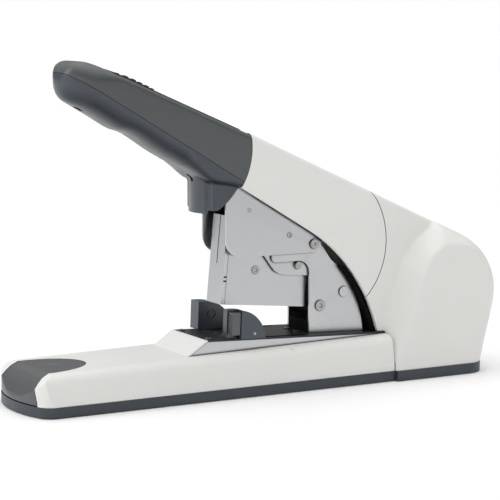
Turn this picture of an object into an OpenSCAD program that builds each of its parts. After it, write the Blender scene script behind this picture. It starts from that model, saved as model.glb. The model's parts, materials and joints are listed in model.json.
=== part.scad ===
// Long-arm desk stapler for thick stacks of paper.
// X runs along the stapler, from the thumb pad at the front (-X) to the rear housing (+X).
// Y is across it and Z is up. The origin is on the table, under the middle of the stapler.
// Inside the modules, x is measured from the front edge of the sole; place() moves it to the origin.

/* [Base] */
// Length from the front of the sole to the back of the rear housing
overall_l = 302; // [301:0.5:303]
// Width of the long front part of the base
base_w = 65; // [64:0.5:66]
// Width of the rear part of the base
rear_w = 70; // [69:0.5:71]
// Height of the sole's top edge
rim_h = 6.1; // [6:0.1:6.3]
// Height by which the rubber feet stand proud of the sole
foot_h = 0.5; // [0.4:0.1:0.8]
// Height of the base top at the front cap
deck_front_z = 22.8; // [22.6:0.1:22.9]
// Height of the base top at the rear housing
deck_rear_z = 26.7; // [26.6:0.1:26.8]
// Wall thickness of the plastic shells
shell_t = 2.2; // [2:0.1:2.4]
// Gap between shells that meet at a seam
seam = 0.2; // [0.15:0.05:0.3]

/* [Handle] */
// Width of the handle and its cover
handle_w = 39; // [38.6:0.2:39.4]
// Rounding of the long top edges of the handle
edge_round = 3.4; // [2:0.2:8]
// Slope of the straight top line at rest
top_a = 24.3; // [24.2:0.1:24.4]
// Slope of the line where the two handle shells meet
part_a = 30.8; // [30.6:0.1:31]
// Width of the nose that covers the driver
nose_w = 20.8; // [20.6:0.1:21.4]
// Radius of the seam between the handle cover and the rear housing, about the lever pivot
seam_r = 46; // [45.8:0.1:46.2]
// Thickness of the lever side plates
lever_t = 1.2; // [1.1:0.1:1.3]

/* [Tower] */
// Lever pivot, above the table
pivot_z = 81.5; // [81.4:0.1:81.6]
// Radius of the lever pivot pin
pivot_r = 2; // [1.8:0.1:2.2]
// Outside width of the tower
tower_w = 25; // [24.8:0.1:25.1]
// Thickness of the tower side plates
tower_t = 1.3; // [1.2:0.1:1.4]

/* [Magazine] */
// Magazine pivot, above the table
mag_z = 45; // [44.9:0.1:45.1]
// Radius of the magazine pivot pin
mag_pin_r = 2.4; // [2.2:0.1:2.6]
// Tilt of the magazine at rest, nose up
mag_a = 5.5; // [5.4:0.1:5.6]
// Outside width of the magazine
mag_w = 17; // [16.8:0.2:17.2]
// Thickness of the magazine's sheet steel
mag_t = 1; // [0.9:0.1:1.1]
// Outside width of the staples
staple_w = 12.8; // [12.6:0.1:13]

/* [Platform] */
// Slope of the platform, down to the rear
plat_a = 2.3; // [2.26:0.02:2.34]
// Width of the platform
plat_w = 42.8; // [42.4:0.2:43.2]
// Front top edge of the platform, above the table
plat_z = 32.4; // [32.3:0.1:32.5]
// Clear width between the paper guides
guide_gap = 30; // [29.9:0.1:30.2]
// Thickness of each paper guide
guide_t = 9.5; // [9.4:0.1:9.6]

/* [Hidden] */

EPS = 0.01;                       // overlap that keeps joined solids joined
FN = 48;
big = 400;                        // larger than any part, for cutting tools
fit = 0.05;                       // radial clearance of a pin or screw in its hole
run = 0.3;                        // clearance between parts that move past each other

light_grey = [0.80, 0.80, 0.79];
dark_grey = [0.26, 0.28, 0.29];
slate = [0.22, 0.25, 0.29];
steel = [0.74, 0.75, 0.76];
dull_steel = [0.62, 0.60, 0.55];
black = [0.06, 0.06, 0.07];
rubber = [0.10, 0.10, 0.11];
near_white = [0.90, 0.90, 0.89];

// Base: where its top starts and where the rear housing takes over
cap_x = 12.7;
base_end_x = 226.3;
deck_a = atan((deck_rear_z - deck_front_z)/(base_end_x - cap_x));
// Front bow and corners of the base, seen from above
bow_r = 78;
corner_r = 9;
corner_y = base_w/2 - corner_r;
corner_x = bow_r - sqrt(pow(bow_r - corner_r, 2) - pow(corner_y, 2));
corner_a = asin(corner_y/(bow_r - corner_r));
wall_lean = 9.2;                  // the base's sides lean in
edge_r = 6;                       // rounding of its long top edges
// Front cap, with the thumb pad on its top
cap_top_y = 20.8;
cap_foot_y = 25;
pad_l = 30;
pad_t = 1.2;
// Rear housing
rear_floor_x = overall_l - 9.4;
rear_lean = 14.6;
rear_corner_r = 15;
dome_r = 36.8;
dome_x = overall_l - dome_r;
dome_z = 48.8;
// Fixing points of the base
foot_spots = [[20, 22], [205, 25], [272, 24]];
screw_spots = [[60, 24.5], [160, 26], [260, 26]];
post_r = 4.2;
base_screw_r = 1.45;
sole_t = 2.2;
chassis_t = 2.2;
tower_foot_z = foot_h + sole_t + chassis_t;
web_top_z = 36.5;

// Straight top line of the handle, cover and housing
line_x = 53.5;
line_z = 184.8;
// Handle tip
tip_x = 28.2;
tip_r = 9.84;
tip_z = 181;
chin_r = 11.8;
chin_z = 176;
// The dark handle shells end on a round face
face_x = 96.7;
face_z = 139.4;
face_r = 41.9;
// Meeting line of the two handle shells
part_x = 61.6;
part_z = 162.6;
// Curved opening below the cover and the housing
throat_x = 123.7;
throat_z = 2.5;
throat_r = 102;
throat_top_a = 59;
nose_front_x = 111.2;
nose_bow = 2.9;                   // how far the nose front bows out
nose_rear_x = 121;
cheek_front_x = 115.2;
cheek_w = 31.4;
nose_foot_z = 102;
// Ribbed insert in the top of the grip
insert_x = 74;
insert_l = 28;
insert_w = 20;
// Lever
pivot_x = 181.7;
lever_foot_z = 76.6;
lever_front_x = 124.3;
lever_out = tower_w/2 + 0.8 + lever_t;   // outer face of a lever plate
tie_x = 165.6;
tie_z = 87.4;
tie_r = 1.7;
roller_x = 139.4;
roller_z = 103.1;
roller_r = 4;
roller_pin_r = 1.5;
bridge_depth = 13;                // lever bridge below the top line
bridge_t = 2;
cover_spots = [105, 132];         // along the top line
handle_screw_r = 1.2;
handle_spots = [[46.7, 11, 13.4], [92, 9.4, 19.4]];  // x, post below and above the meeting line

// Tower
mag_x = 187;
tie_spots = [[207, 20], [203, 52]];
tie_pin_r = 1.8;
tower_front_x = 180;
tower_rear = [154.1, 23.7];       // centre of the rear edge's arc
tower_rear_r = 62.5;
tower_hole = [tower_front_x - 0.6, 217.2];   // opening in the deck, from and to

// Magazine, in its own tilted frame: u to the rear and w up, from its pivot
mag_front = -63.2;
mag_foot = -1.3;
mag_rear = -8;
mag_top = 28;
deck_w = 10;                      // deck over the staple track
arm_t = 1.4;
arm_out = tower_w/2 - tower_t - run;     // outer face of an arm
front_t = 1.1;
front_top = 49;
flange_l = 2.4;                   // side flange of the front plate
blade_t = 0.8;
blade_u = mag_front + front_t + run;
blade_foot = 8.4;
head_foot = 42;
head_top = 49;
head_l = 24;
spring_u = -50.5;
rail_u = blade_u + blade_t + 0.4;
strip_end = -36;
pusher_end = -29.5;
rod_w = 4;
rod_r = 0.9;
dish = [-42.5, 19];               // dished rivet of the housing
arm_rivet = [-24.5, 24.8];
rivet_r = 1.5;
stop_x = 172.8;
stop_z = 69.4;
stop_r = 2.1;
notch_r = 7.2;                    // the stop pin rests in this notch of the tower

// Platform and guides, in the platform's own frame
plat_x = 107.7;
plate_t = 0.9;
frame_t = 1;
plate_end_x = 228.7;
ramp_foot_x = 96.4;
ramp_t = 1.3;
anvil_x = 125.6;
plate_spots = [[112, 16.5], [175.5, 5.5]];
plate_screw_r = 0.95;
guide_x = 121.7 - plat_x;
guide_h = 16.6;
guide_round = 17.2;
guide_travel = 34;
slot_y = 18;
slot_w = 3.4;
stem = [5, 12];                   // start and length of the guide's stem
carriage_top = -plate_t - frame_t - run;
carriage_t = 0.8;
guide_bolt_r = 0.75;
notch_l = 6.7;
release_x = 15.5;                 // pin of the release lever
release_z = 3.2;
release_pin_r = 0.8;

// ---- Helpers ----------------------------------------------------------------------------

function arc(c, r, a0, a1, n = 8) =
    [for (i = [0:n]) [c[0] + r*cos(a0 + (a1 - a0)*i/n), c[1] + r*sin(a0 + (a1 - a0)*i/n)]];
function mirrored(pts) = [for (i = [len(pts) - 1:-1:0]) [-pts[i][0], pts[i][1]]];
// Height of the straight top line at x, moved down square to itself by d
function top_z(x, d = 0) = line_z - tan(top_a)*(x - line_x) - d/cos(top_a);
// Height of the handle's parting line at x
function parting_z(x) = part_z - tan(part_a)*(x - part_x);
// Height of the platform's top at x, lifted by d
function plat_top(x, d = 0) = plat_z - tan(plat_a)*(x - plat_x) + d/cos(plat_a);
// Height of the base's top at x
function deck_z(x) = deck_front_z + tan(deck_a)*(x - cap_x);
// A point of the magazine's frame, in the stapler's side view
module place() translate([-overall_l/2, 0, 0]) children();
// A side view outline [x, z], centred on y
module side(pts, t, y = 0) translate([0, y, 0]) rotate([90, 0, 0])
    linear_extrude(t, center = true) polygon(pts);
// A front view outline [y, z], from x0 to x1
module along_x(pts, x0, x1) translate([x0, 0, 0]) rotate([90, 0, 90])
    linear_extrude(x1 - x0) polygon(pts);
// A round bar across the stapler
module cross_bar(x, z, r, l, y = 0) translate([x, y, z]) rotate([90, 0, 0])
    cylinder(r = r, h = l, center = true, $fn = FN);
// A round bar along x
module long_bar(x, y, z, r, l) translate([x, y, z]) rotate([0, 90, 0])
    cylinder(r = r, h = l, $fn = FN);
module both_sides() { children(); mirror([0, 1, 0]) children(); }
module in_magazine() translate([mag_x, 0, mag_z]) rotate([0, mag_a, 0]) children();
module on_platform() translate([plat_x, 0, plat_z]) rotate([0, plat_a, 0]) children();
module on_top_line() translate([line_x, 0, line_z]) rotate([0, top_a, 0]) children();
module on_parting(x) translate([x, 0, parting_z(x)]) rotate([0, part_a, 0]) children();

// Wire wound about Z, from z = 0 to l
module coil(r, wire, l, turns, sides = 6, steps = 12) {
    n = turns*steps;
    pts = [for (i = [0:n]) let (a = 360*i/steps, z = wire + (l - 2*wire)*i/n)
        for (k = [0:sides - 1]) let (b = 360*k/sides)
            [(r + wire*cos(b))*cos(a), (r + wire*cos(b))*sin(a), z + wire*sin(b)]];
    walls = [for (i = [0:n - 1]) for (k = [0:sides - 1])
        let (a = i*sides + k, b = i*sides + (k + 1)%sides) [a, a + sides, b + sides, b]];
    polyhedron(pts, concat(walls,
        [[for (k = [0:sides - 1]) k], [for (k = [0:sides - 1]) n*sides + sides - 1 - k]]));
}

// A pan-head screw with its head on z = 0 and its shank below
module screw(head_r, shank_r, l, head_h = 1.4) difference() {
    union() {
        cylinder(r = head_r, h = head_h, $fn = FN);
        translate([0, 0, -l]) cylinder(r = shank_r, h = l + EPS, $fn = FN);
    }
    for (a = [0, 90]) rotate([0, 0, a]) translate([0, 0, head_h])
        cube([head_r*1.2, 0.6, head_h], center = true);
}

// ---- Forms that several shells share ------------------------------------------------------

// Base outline from above, moved in by d, cut off at x_end
function base_plan(d, x_end) = concat(
    arc([corner_x, -corner_y], corner_r - d, 270, 180 + corner_a, 6),
    arc([bow_r, 0], bow_r - d, 180 + corner_a, 180 - corner_a, 14),
    arc([corner_x, corner_y], corner_r - d, 180 - corner_a, 90, 6),
    [[x_end, base_w/2 - d], [x_end, d - base_w/2]]);
// Rear outline from above, moved in by d, from x0
function rear_plan(d, x0) = concat(
    [[x0, d - rear_w/2]],
    arc([rear_floor_x - rear_corner_r, rear_corner_r - rear_w/2], rear_corner_r - d, 270, 360),
    arc([rear_floor_x - rear_corner_r, rear_w/2 - rear_corner_r], rear_corner_r - d, 0, 90),
    [[x0, rear_w/2 - d]]);
// Side view of the base: rounded front, then the gently rising top
function base_side(d) = [[base_end_x, rim_h - 1], [d, rim_h - 1], [d, rim_h], [d + 0.3, 8],
    [d + 0.9, 10.2 - d/6], [d + 2.3, 12.8 - d/4], [d + 3.9, 15.5 - d/3], [d + 6, 18.1 - d/2],
    [d + 8.7, 20.7 - 0.8*d], [cap_x + 0.4*d, deck_z(cap_x) - d], [base_end_x, deck_z(base_end_x) - d]];
// Front view of the base about its top line: sides that lean in and round over
function base_half(d) = let (top_y = base_w/2 - 3 - d, t = tan(wall_lean), r = edge_r - d/2)
    concat([[top_y + 30*t, -30]],
        arc([top_y + r*t - r/cos(wall_lean), -d - r], r, wall_lean, 90, 7));
module base_form(d) intersection() {
    linear_extrude(40) polygon(base_plan(d + 0.2, base_end_x));
    side(base_side(d), 2*base_w);
    translate([cap_x, 0, deck_front_z]) rotate([0, -deck_a, 0])
        along_x(concat(base_half(d), mirrored(base_half(d))), -20, big);
}
// The cap's share of the base, grown by g
module cap_zone(g) {
    along_x([[cap_foot_y + g, rim_h - 2], [cap_foot_y + g, rim_h + 2],
        [cap_top_y + g, deck_front_z + 1], [-cap_top_y - g, deck_front_z + 1],
        [-cap_foot_y - g, rim_h + 2], [-cap_foot_y - g, rim_h - 2]], -2, cap_x + g);
}
// The thumb pad's outline, grown by g
module pad_zone(g) translate([0, 0, deck_front_z - pad_t - g/2]) linear_extrude(6)
    polygon([for (i = [0:24]) let (a = 90 - 7.5*i)
        [cap_x + (pad_l + g)*cos(a), (cap_top_y + g)*sin(a)]]);

// Cross-section square to the top line, moved in by d
function arm_half(d) = let (w = handle_w/2 - d, r = edge_round - d/2)
    concat([[w, -150]], arc([w - r, -r - d], r, 0, 90, 7));
module arm_form(d) on_top_line() along_x(concat(arm_half(d), mirrored(arm_half(d))), -60, 260);
// Side view of the grip, moved in by d
function grip_side(d) = let (s = sin(part_a)*d, c = cos(part_a)*d) concat(
    arc([tip_x + tip_r, tip_z], tip_r - d, 90 - top_a, 180, 8),
    arc([tip_x + chin_r, chin_z], chin_r - d, 182, 270 - part_a, 6),
    [[56.5 + s, 152.6 + c], [63.5 + s, 149.2 + c], [68 + s, 148.4 + c], [76.4 + s, 143.3 + c],
     [104 + s, 126.8 + c], [112 + s, 119.8 + c], [131, 116.4 + c], [160, 116.4 + c],
     [160, top_z(160, d)]]);
module grip_form(d) intersection() {
    arm_form(d);
    side(grip_side(d), 2*handle_w);
    hull() for (x = [tip_x + handle_w/2, 170]) translate([x, 0, 80])
        cylinder(r = handle_w/2 - d, h = 140, $fn = 96);
}
// The dark shells end on this round face, grown by g
module face_zone(g) {
    cross_bar(face_x, face_z, face_r + g, 2*handle_w);
    translate([0, -handle_w, face_z - 45]) cube([face_x, 2*handle_w, 120]);
}
// Everything below the curved opening
module throat_zone() {
    edge_x = throat_x + throat_r*cos(throat_top_a);
    edge_z = throat_z + throat_r*sin(throat_top_a);
    cross_bar(throat_x, throat_z, throat_r, 2*handle_w);
    side([[edge_x, edge_z], [60, edge_z + (edge_x - 60)/tan(throat_top_a)], [60, 0],
        [throat_x, 0]], 2*handle_w);
}
// Side above the parting line, from a gap g up
module above_parting(g) side([[0, parting_z(0) + g], [0, 260], [230, 260],
    [230, parting_z(230) + g]], 2*handle_w);

// ---- Base ---------------------------------------------------------------------------------

module sole() place() color(slate) difference() {
    union() {
        difference() {
            translate([0, 0, foot_h]) linear_extrude(rim_h - foot_h) union() {
                polygon(base_plan(0, base_end_x + 1));
                polygon(rear_plan(0, base_end_x + 0.6));
            }
            translate([0, 0, foot_h + sole_t]) linear_extrude(rim_h) union() {
                polygon(base_plan(2.6, base_end_x + 5));
                polygon(rear_plan(2.6, base_end_x + 3.2));
            }
        }
        for (p = screw_spots, s = [-1, 1]) translate([p[0], s*p[1], foot_h + 1])
            cylinder(r = post_r, h = rim_h - foot_h - 1, $fn = FN);
    }
    for (p = foot_spots, s = [-1, 1]) translate([p[0], s*p[1], -EPS])
        cylinder(r = 6 + fit, h = foot_h + 1.3, $fn = FN);
    for (p = screw_spots, s = [-1, 1]) translate([p[0], s*p[1], -EPS]) {
        cylinder(r = 3.2, h = foot_h + 2.4, $fn = FN);
        cylinder(r = base_screw_r + fit, h = 10, $fn = FN);
    }
}

module rubber_feet() place() color(rubber)
    for (p = foot_spots, s = [-1, 1]) translate([p[0], s*p[1], 0])
        cylinder(r = 6, h = foot_h + 1.25, $fn = FN);

module base_screws() place() color(steel)
    for (p = screw_spots, s = [-1, 1]) translate([p[0], s*p[1], foot_h + 2.3]) rotate([180, 0, 0])
        screw(2.9, base_screw_r, 7);

module base_cover() place() color(light_grey) difference() {
    union() {
        difference() {
            base_form(0);
            base_form(shell_t);
        }
        // Screw posts
        for (p = [screw_spots[0], screw_spots[1]], s = [-1, 1]) translate([p[0], s*p[1], rim_h])
            cylinder(r = 3, h = deck_z(p[0]) - rim_h - 1, $fn = FN);
    }
    translate([-1, -base_w, 0]) cube([big, 2*base_w, rim_h]);
    cap_zone(seam);
    pad_zone(seam);
    for (p = screw_spots, s = [-1, 1]) translate([p[0], s*p[1], 0])
        cylinder(r = base_screw_r + fit, h = 12, $fn = FN);
    translate([tower_hole[0], -14, 15]) cube([tower_hole[1] - tower_hole[0], 28, 20]);
}

module front_cap() place() color(dark_grey) difference() {
    union() {
        intersection() {
            difference() { base_form(0); base_form(shell_t); }
            cap_zone(0);
        }
        intersection() {
            pad_zone(0);
            side([[cap_x - 1, 10], [cap_x - 1, deck_z(cap_x - 1)], [60, deck_z(60)], [60, 10]],
                base_w);
            translate([cap_x - EPS, -base_w, 0]) cube([60, 2*base_w, 40]);
        }
    }
    translate([-1, -base_w, 0]) cube([40, 2*base_w, rim_h]);
    // Shallow round thumb hollow
    translate([cap_x + 11, 0, deck_front_z + 30]) sphere(r = 30.4, $fn = 96);
}

// Side view of the rear part, from its front edge's points over the dome
function dome_side(r, front) = concat(front, arc([dome_x, dome_z], r, 90 - top_a, -rear_lean, 10),
    [[rear_floor_x + r - dome_r, rim_h - 1]]);
module rear_wide(d) intersection() {
    hull() {
        side(dome_side(dome_r - d, [[226.5 + d, rim_h - 1], [226.8 + d, 32.2], [232.8 + d, 50],
            [238 + d, 66 - d], [248 + d, 80 - d], [262, top_z(262, d)]]), 40 - 2*d);
        side(dome_side(dome_r - 2.4 - d, [[227 + d, rim_h - 1], [228 + d, 20], [234.6 + d, 43],
            [241 + d, 61 - d], [250 + d, 76 - d], [262, 86 - d]]), 56 - 2*d);
        side(dome_side(dome_r - 6.5 - d, [[226.6 + d, rim_h - 1], [229.5 + d, 15.5],
            [235.5 + d, 35.6], [244.9 + d, 61.4 - d], [251 + d, 72 - d], [259.5 + d, 78 - d]]),
            rear_w - 1 - 2*d);
    }
    translate([rear_floor_x, 0, rim_h]) rotate([0, rear_lean, 0]) translate([-rear_floor_x, 0, -20])
        linear_extrude(120) polygon(rear_plan(d + 0.2, 180));
}
module rear_neck(d) intersection() {
    arm_form(d);
    side([[200, 26], [250, 26], [262, 60], [dome_x + 12, 70],
        [dome_x + 12, top_z(dome_x + 12)], [200, top_z(200)]], 2*handle_w);
}

module rear_housing() place() color(light_grey) difference() {
    union() {
        difference() {
            union() { rear_wide(0); rear_neck(0); }
            rear_wide(shell_t);
            rear_neck(shell_t);
            // The neck stands on the platform
            translate([200, -plat_w/2 - 0.5, 0])
                cube([plate_end_x + 3 - 200, plat_w + 1, plat_top(base_end_x) + 1.5]);
            translate([200, -rear_w, 0]) cube([base_end_x + seam - 200, 2*rear_w, 28]);
            cross_bar(pivot_x, pivot_z, seam_r + 2*seam, 2*handle_w);
            throat_zone();
        }
        // Screw posts, each on a rib from the side wall
        both_sides() {
            translate([screw_spots[2][0], screw_spots[2][1], rim_h]) cylinder(r = 3, h = 12, $fn = FN);
            translate([screw_spots[2][0] - 1, screw_spots[2][1], rim_h]) cube([2, 7, 12]);
        }
    }
    translate([200, -rear_w, -EPS]) cube([120, 2*rear_w, rim_h + EPS]);
    for (s = [-1, 1]) translate([screw_spots[2][0], s*screw_spots[2][1], 0])
        cylinder(r = base_screw_r + fit, h = 14, $fn = FN);
}

// Black curved screen behind the tower
module inner_shroud() place() color(black) intersection() {
    difference() {
        cross_bar(throat_x, throat_z, throat_r - 0.8, handle_w - 2*shell_t - 1.2);
        cross_bar(throat_x, throat_z, throat_r - 2.4, handle_w);
    }
    translate([188, -20, plat_top(220) + 0.3]) cube([60, 40, 39]);
}

module chassis_plate() place() color(steel) difference() {
    translate([100, -21, foot_h + sole_t]) cube([176, 42, chassis_t]);
    for (x = [190, 208], s = [-1, 1]) translate([x, s*17, 0]) cylinder(r = 1.8, h = 20, $fn = FN);
}

// ---- Platform -------------------------------------------------------------------------------

module guide_slots() both_sides() on_platform()
    translate([guide_x + stem[0] - 0.5, slot_y - slot_w/2, -8])
        cube([guide_travel + stem[1] + 1, slot_w, 12]);
module tower_opening() translate([tower_hole[0], -14, 10])
    cube([tower_hole[1] - tower_hole[0], 28, 40]);
module plate_holes(r) for (p = plate_spots, s = [-1, 1]) on_platform()
    translate([p[0] - plat_x, s*p[1], -8]) cylinder(r = r, h = 12, $fn = FN);

module platform_frame() place() color(steel) difference() {
    side([[ramp_foot_x + ramp_t + 0.2, deck_z(ramp_foot_x + ramp_t)],
        [plat_x + ramp_t, plat_top(plat_x + ramp_t, -plate_t)], [222, plat_top(222, -plate_t)],
        [222, deck_z(222)]], plat_w);
    // Hollow underneath
    side([[104, deck_z(104) - 2], [112, plat_top(112, -plate_t - frame_t)],
        [196, plat_top(196, -plate_t - frame_t)], [196, deck_z(196) - 2]], plat_w - 2.4);
    guide_slots();
    tower_opening();
    plate_holes(plate_screw_r + fit);
}

module platform_plate() place() color(black) difference() {
    union() {
        on_platform() translate([ramp_t + 0.1, -plat_w/2 + 0.4, -plate_t])
            cube([plate_end_x - plat_x - ramp_t, plat_w - 0.8, plate_t]);
        // Turned-up rear edge
        on_platform() translate([plate_end_x - plat_x - 1, -plat_w/2 + 0.4, -EPS])
            cube([1.1, plat_w - 0.8, 1.1]);
    }
    guide_slots();
    tower_opening();
    on_platform() translate([anvil_x - plat_x - 3.3, -14.3, -2]) cube([6.6, 28.6, 4]);
    plate_holes(plate_screw_r + fit);
}

module platform_screws() place() color(steel)
    for (p = plate_spots, s = [-1, 1]) on_platform() translate([p[0] - plat_x, s*p[1], 0])
        screw(1.9, plate_screw_r, 2.6, 0.7);

module anvil() place() color(steel) on_platform() translate([anvil_x - plat_x, 0, 0])
    difference() {
        translate([-3.2, -14.2, -plate_t]) cube([6.4, 28.4, plate_t + 0.3]);
        // Clinching hollows
        both_sides() translate([-0.9, 1.1, -0.2]) cube([1.8, 5.8, 1]);
    }

module front_ramp() place() color(near_white)
    side([[ramp_foot_x, deck_z(ramp_foot_x)], [plat_x, plat_z],
        [plat_x + ramp_t, plat_top(plat_x + ramp_t)],
        [plat_x + ramp_t, plat_top(plat_x + ramp_t, -plate_t)],
        [ramp_foot_x + ramp_t, deck_z(ramp_foot_x + ramp_t)]], plat_w - 0.4);

// ---- Tower ----------------------------------------------------------------------------------

function tower_side() = concat(
    [[tower_front_x, tower_foot_z], [tower_front_x, 63]],
    arc([stop_x, stop_z - notch_r + stop_r + 0.5], notch_r, 0, 90, 8),
    arc([157.6, 74.4], 2.4, 270, 180, 4),
    [[155.2, 77.2], [168.3, 77.2]],
    arc([pivot_x, pivot_z], 6.5, 150, -10, 8),
    arc(tower_rear, tower_rear_r, 50, 4, 10),
    [[216.4, tower_foot_z]]);
module tower_plate(s) difference() {
    union() {
        side(tower_side(), tower_t, s*(tower_w/2 - tower_t/2));
        // Foot flange
        translate([182, s > 0 ? tower_w/2 - tower_t : -tower_w/2 - 8, tower_foot_z])
            cube([32, 8 + tower_t, 2]);
    }
    cross_bar(pivot_x, pivot_z, pivot_r + EPS, 60);
    cross_bar(mag_x, mag_z, mag_pin_r + EPS, 60);
    for (p = tie_spots) cross_bar(p[0], p[1], tie_pin_r + EPS, 60);
    for (x = [190, 208]) translate([x, s*17, 0]) cylinder(r = 1.8, h = 20, $fn = FN);
}
module tower_left() place() color(steel) tower_plate(-1);
module tower_right() place() color(steel) tower_plate(1);

// Black front wall of the tower, low enough for the magazine to swing above it
module tower_web() place() color(black)
    translate([tower_front_x + 0.2, EPS - tower_w/2 + tower_t, tower_foot_z])
        cube([1.4, tower_w - 2*tower_t - 2*EPS, web_top_z - tower_foot_z]);

module tower_spacers() place() color(dull_steel) for (p = tie_spots) difference() {
    cross_bar(p[0], p[1], 4, tower_w - 2*tower_t);
    cross_bar(p[0], p[1], tie_pin_r + fit, 60);
}
module tower_rivets() place() color(steel) {
    for (p = tie_spots) {
        cross_bar(p[0], p[1], tie_pin_r, tower_w);
        both_sides() cross_bar(p[0], p[1], 3, 0.8, tower_w/2 + 0.4);
    }
    // Rivets of the foot flanges
    for (x = [190, 208], s = [-1, 1]) translate([x, s*17, tower_foot_z - chassis_t])
        cylinder(r = 1.75, h = chassis_t + 2.9, $fn = FN);
}

module lever_pivot_pin() place() color(steel) difference() {
    union() {
        cross_bar(pivot_x, pivot_z, pivot_r, 2*lever_out + 2*run);
        both_sides() cross_bar(pivot_x, pivot_z, pivot_r + 0.7, 1, lever_out + run + 0.5 - EPS);
    }
    both_sides() cross_bar(pivot_x, pivot_z, 0.9, 0.8, lever_out + run + 1);
}

module magazine_pivot_pin() place() color(steel) difference() {
    union() {
        cross_bar(mag_x, mag_z, mag_pin_r, tower_w);
        both_sides() cross_bar(mag_x, mag_z, mag_pin_r + 0.7, 0.9, tower_w/2 + 0.45 - EPS);
    }
    both_sides() cross_bar(mag_x, mag_z, 1.3, 0.9, tower_w/2 + 0.9);
}

// Torsion spring wound about the lever pivot
module return_spring() place() color(steel) translate([pivot_x, -7.6, pivot_z])
    rotate([-90, 0, 0]) coil(4.4, 0.8, 15.2, 7);

// ---- Handle ---------------------------------------------------------------------------------

module handle_top_shell() place() color(dark_grey) difference() {
    intersection() {
        union() {
            difference() { grip_form(0); grip_form(shell_t); }
            for (p = handle_spots) on_parting(p[0]) cylinder(r = 3, h = p[2], $fn = FN);
        }
        face_zone(-seam);
        above_parting(seam/2);
    }
    insert_seat(seam/2);
    for (p = handle_spots) on_parting(p[0]) translate([0, 0, -1])
        cylinder(r = handle_screw_r + fit, h = 9, $fn = FN);
}

// Column of the nose: a bowed front between straight sides, moved in by d
module nose_column(d) translate([0, 0, nose_foot_z - d]) linear_extrude(32) polygon(concat(
    [for (i = [-8:8]) let (y = (nose_w/2 - d)*i/8)
        [nose_front_x + d + nose_bow*pow(i/8, 2), y]],
    [[nose_rear_x, nose_w/2 - d], [nose_rear_x, d - nose_w/2]]));
// Wider part of the nose that covers the lever plates, moved in by d
module nose_cheeks(d) translate([cheek_front_x + d, d - cheek_w/2, nose_foot_z + 2])
    cube([34 - d, cheek_w - 2*d, 30]);
module handle_bottom_shell() place() color(slate) difference() {
    intersection() {
        union() {
            intersection() {
                difference() {
                    union() { grip_form(0); nose_cheeks(0); }
                    grip_form(shell_t);
                    nose_cheeks(1.5);
                }
                face_zone(-seam);
            }
            difference() { nose_column(0); grip_form(shell_t); nose_cheeks(1.5); }
            for (p = handle_spots) on_parting(p[0]) translate([0, 0, -p[1]])
                cylinder(r = 3.9, h = p[1], $fn = FN);
        }
        difference() { cube(2*big, center = true); above_parting(-seam/2); }
    }
    nose_column(1.5);
    // Room beside the lever plates
    translate([cheek_front_x + 1.5, -lever_out - run, 100]) cube([30, 2*(lever_out + run), 40]);
    for (p = handle_spots) on_parting(p[0]) {
        translate([0, 0, -20]) cylinder(r = 2.9, h = 20 - p[1] + 4, $fn = FN);
        translate([0, 0, -p[1]]) cylinder(r = handle_screw_r + fit, h = 20, $fn = FN);
    }
}

module handle_cover() place() color(light_grey) difference() {
    union() {
        difference() {
            intersection() {
                arm_form(0);
                union() {
                    cross_bar(pivot_x, pivot_z, seam_r, 2*handle_w);
                    translate([110, -handle_w, 60]) cube([pivot_x - 110, 2*handle_w, 110]);
                }
            }
            arm_form(shell_t);
        }
        // Bosses for the lever bridge
        for (u = cover_spots) on_top_line() translate([u, 0, -bridge_depth])
            cylinder(r = 3, h = bridge_depth - shell_t + 0.5, $fn = FN);
    }
    face_zone(0);
    throat_zone();
    for (u = cover_spots) on_top_line() translate([u, 0, -bridge_depth - 1])
        cylinder(r = handle_screw_r + fit, h = 10, $fn = FN);
}

module insert_seat(g) on_top_line() translate([(insert_x - line_x)/cos(top_a), 0, -1 - g])
    linear_extrude(3) hull() for (s = [-1, 1]) translate([s*(insert_l - insert_w)/2, 0])
        circle(r = insert_w/2 + g, $fn = FN);
module grip_insert() place() color(rubber) difference() {
    insert_seat(0);
    on_top_line() {
        translate([-50, -40, 0.5]) cube([200, 80, 9]);
        for (i = [-2.5:2.5]) translate([(insert_x - line_x)/cos(top_a) + i*4.4, 0, 0.9])
            rotate([90, 0, 0]) cylinder(r = 1.2, h = 60, center = true, $fn = FN);
    }
}

function lever_side() = concat(
    arc([lever_front_x + 10, lever_foot_z + 10], 10, 180, 270, 8),
    arc([pivot_x, pivot_z], pivot_z - lever_foot_z, 270, 360, 6),
    [[188.5, 100], [186, 112], [170, top_z(170, 11)], [138, top_z(138, 11)], [134, 126],
     [127, 120], [lever_front_x, 112]]);
module lever_plate(s) difference() {
    side(lever_side(), lever_t, s*(lever_out - lever_t/2));
    cross_bar(pivot_x, pivot_z, pivot_r + fit, 60);
    cross_bar(roller_x, roller_z, roller_pin_r + EPS, 60);
    cross_bar(tie_x, tie_z, tie_r + EPS, 60);
}
module lever_left() place() color(steel) lever_plate(-1);
module lever_right() place() color(steel) lever_plate(1);

module lever_bridge() place() color(steel) difference() {
    side([[139, top_z(139, bridge_depth)], [180, top_z(180, bridge_depth)],
        [180, top_z(180, bridge_depth + bridge_t)], [139, top_z(139, bridge_depth + bridge_t)]],
        2*(lever_out - lever_t));
    for (u = cover_spots) on_top_line() translate([u, 0, -bridge_depth - 5])
        cylinder(r = handle_screw_r + fit, h = 10, $fn = FN);
}

module lever_tie_pin() place() color(steel) difference() {
    cross_bar(tie_x, tie_z, tie_r, 2*lever_out + 0.4);
    both_sides() cross_bar(tie_x, tie_z, 0.9, 1, lever_out + 0.4);
}
module drive_roller() place() color(dull_steel) difference() {
    cross_bar(roller_x, roller_z, roller_r, 12);
    cross_bar(roller_x, roller_z, roller_pin_r + fit, 60);
}
module roller_pin() place() color(steel)
    cross_bar(roller_x, roller_z, roller_pin_r, 2*lever_out);

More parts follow.
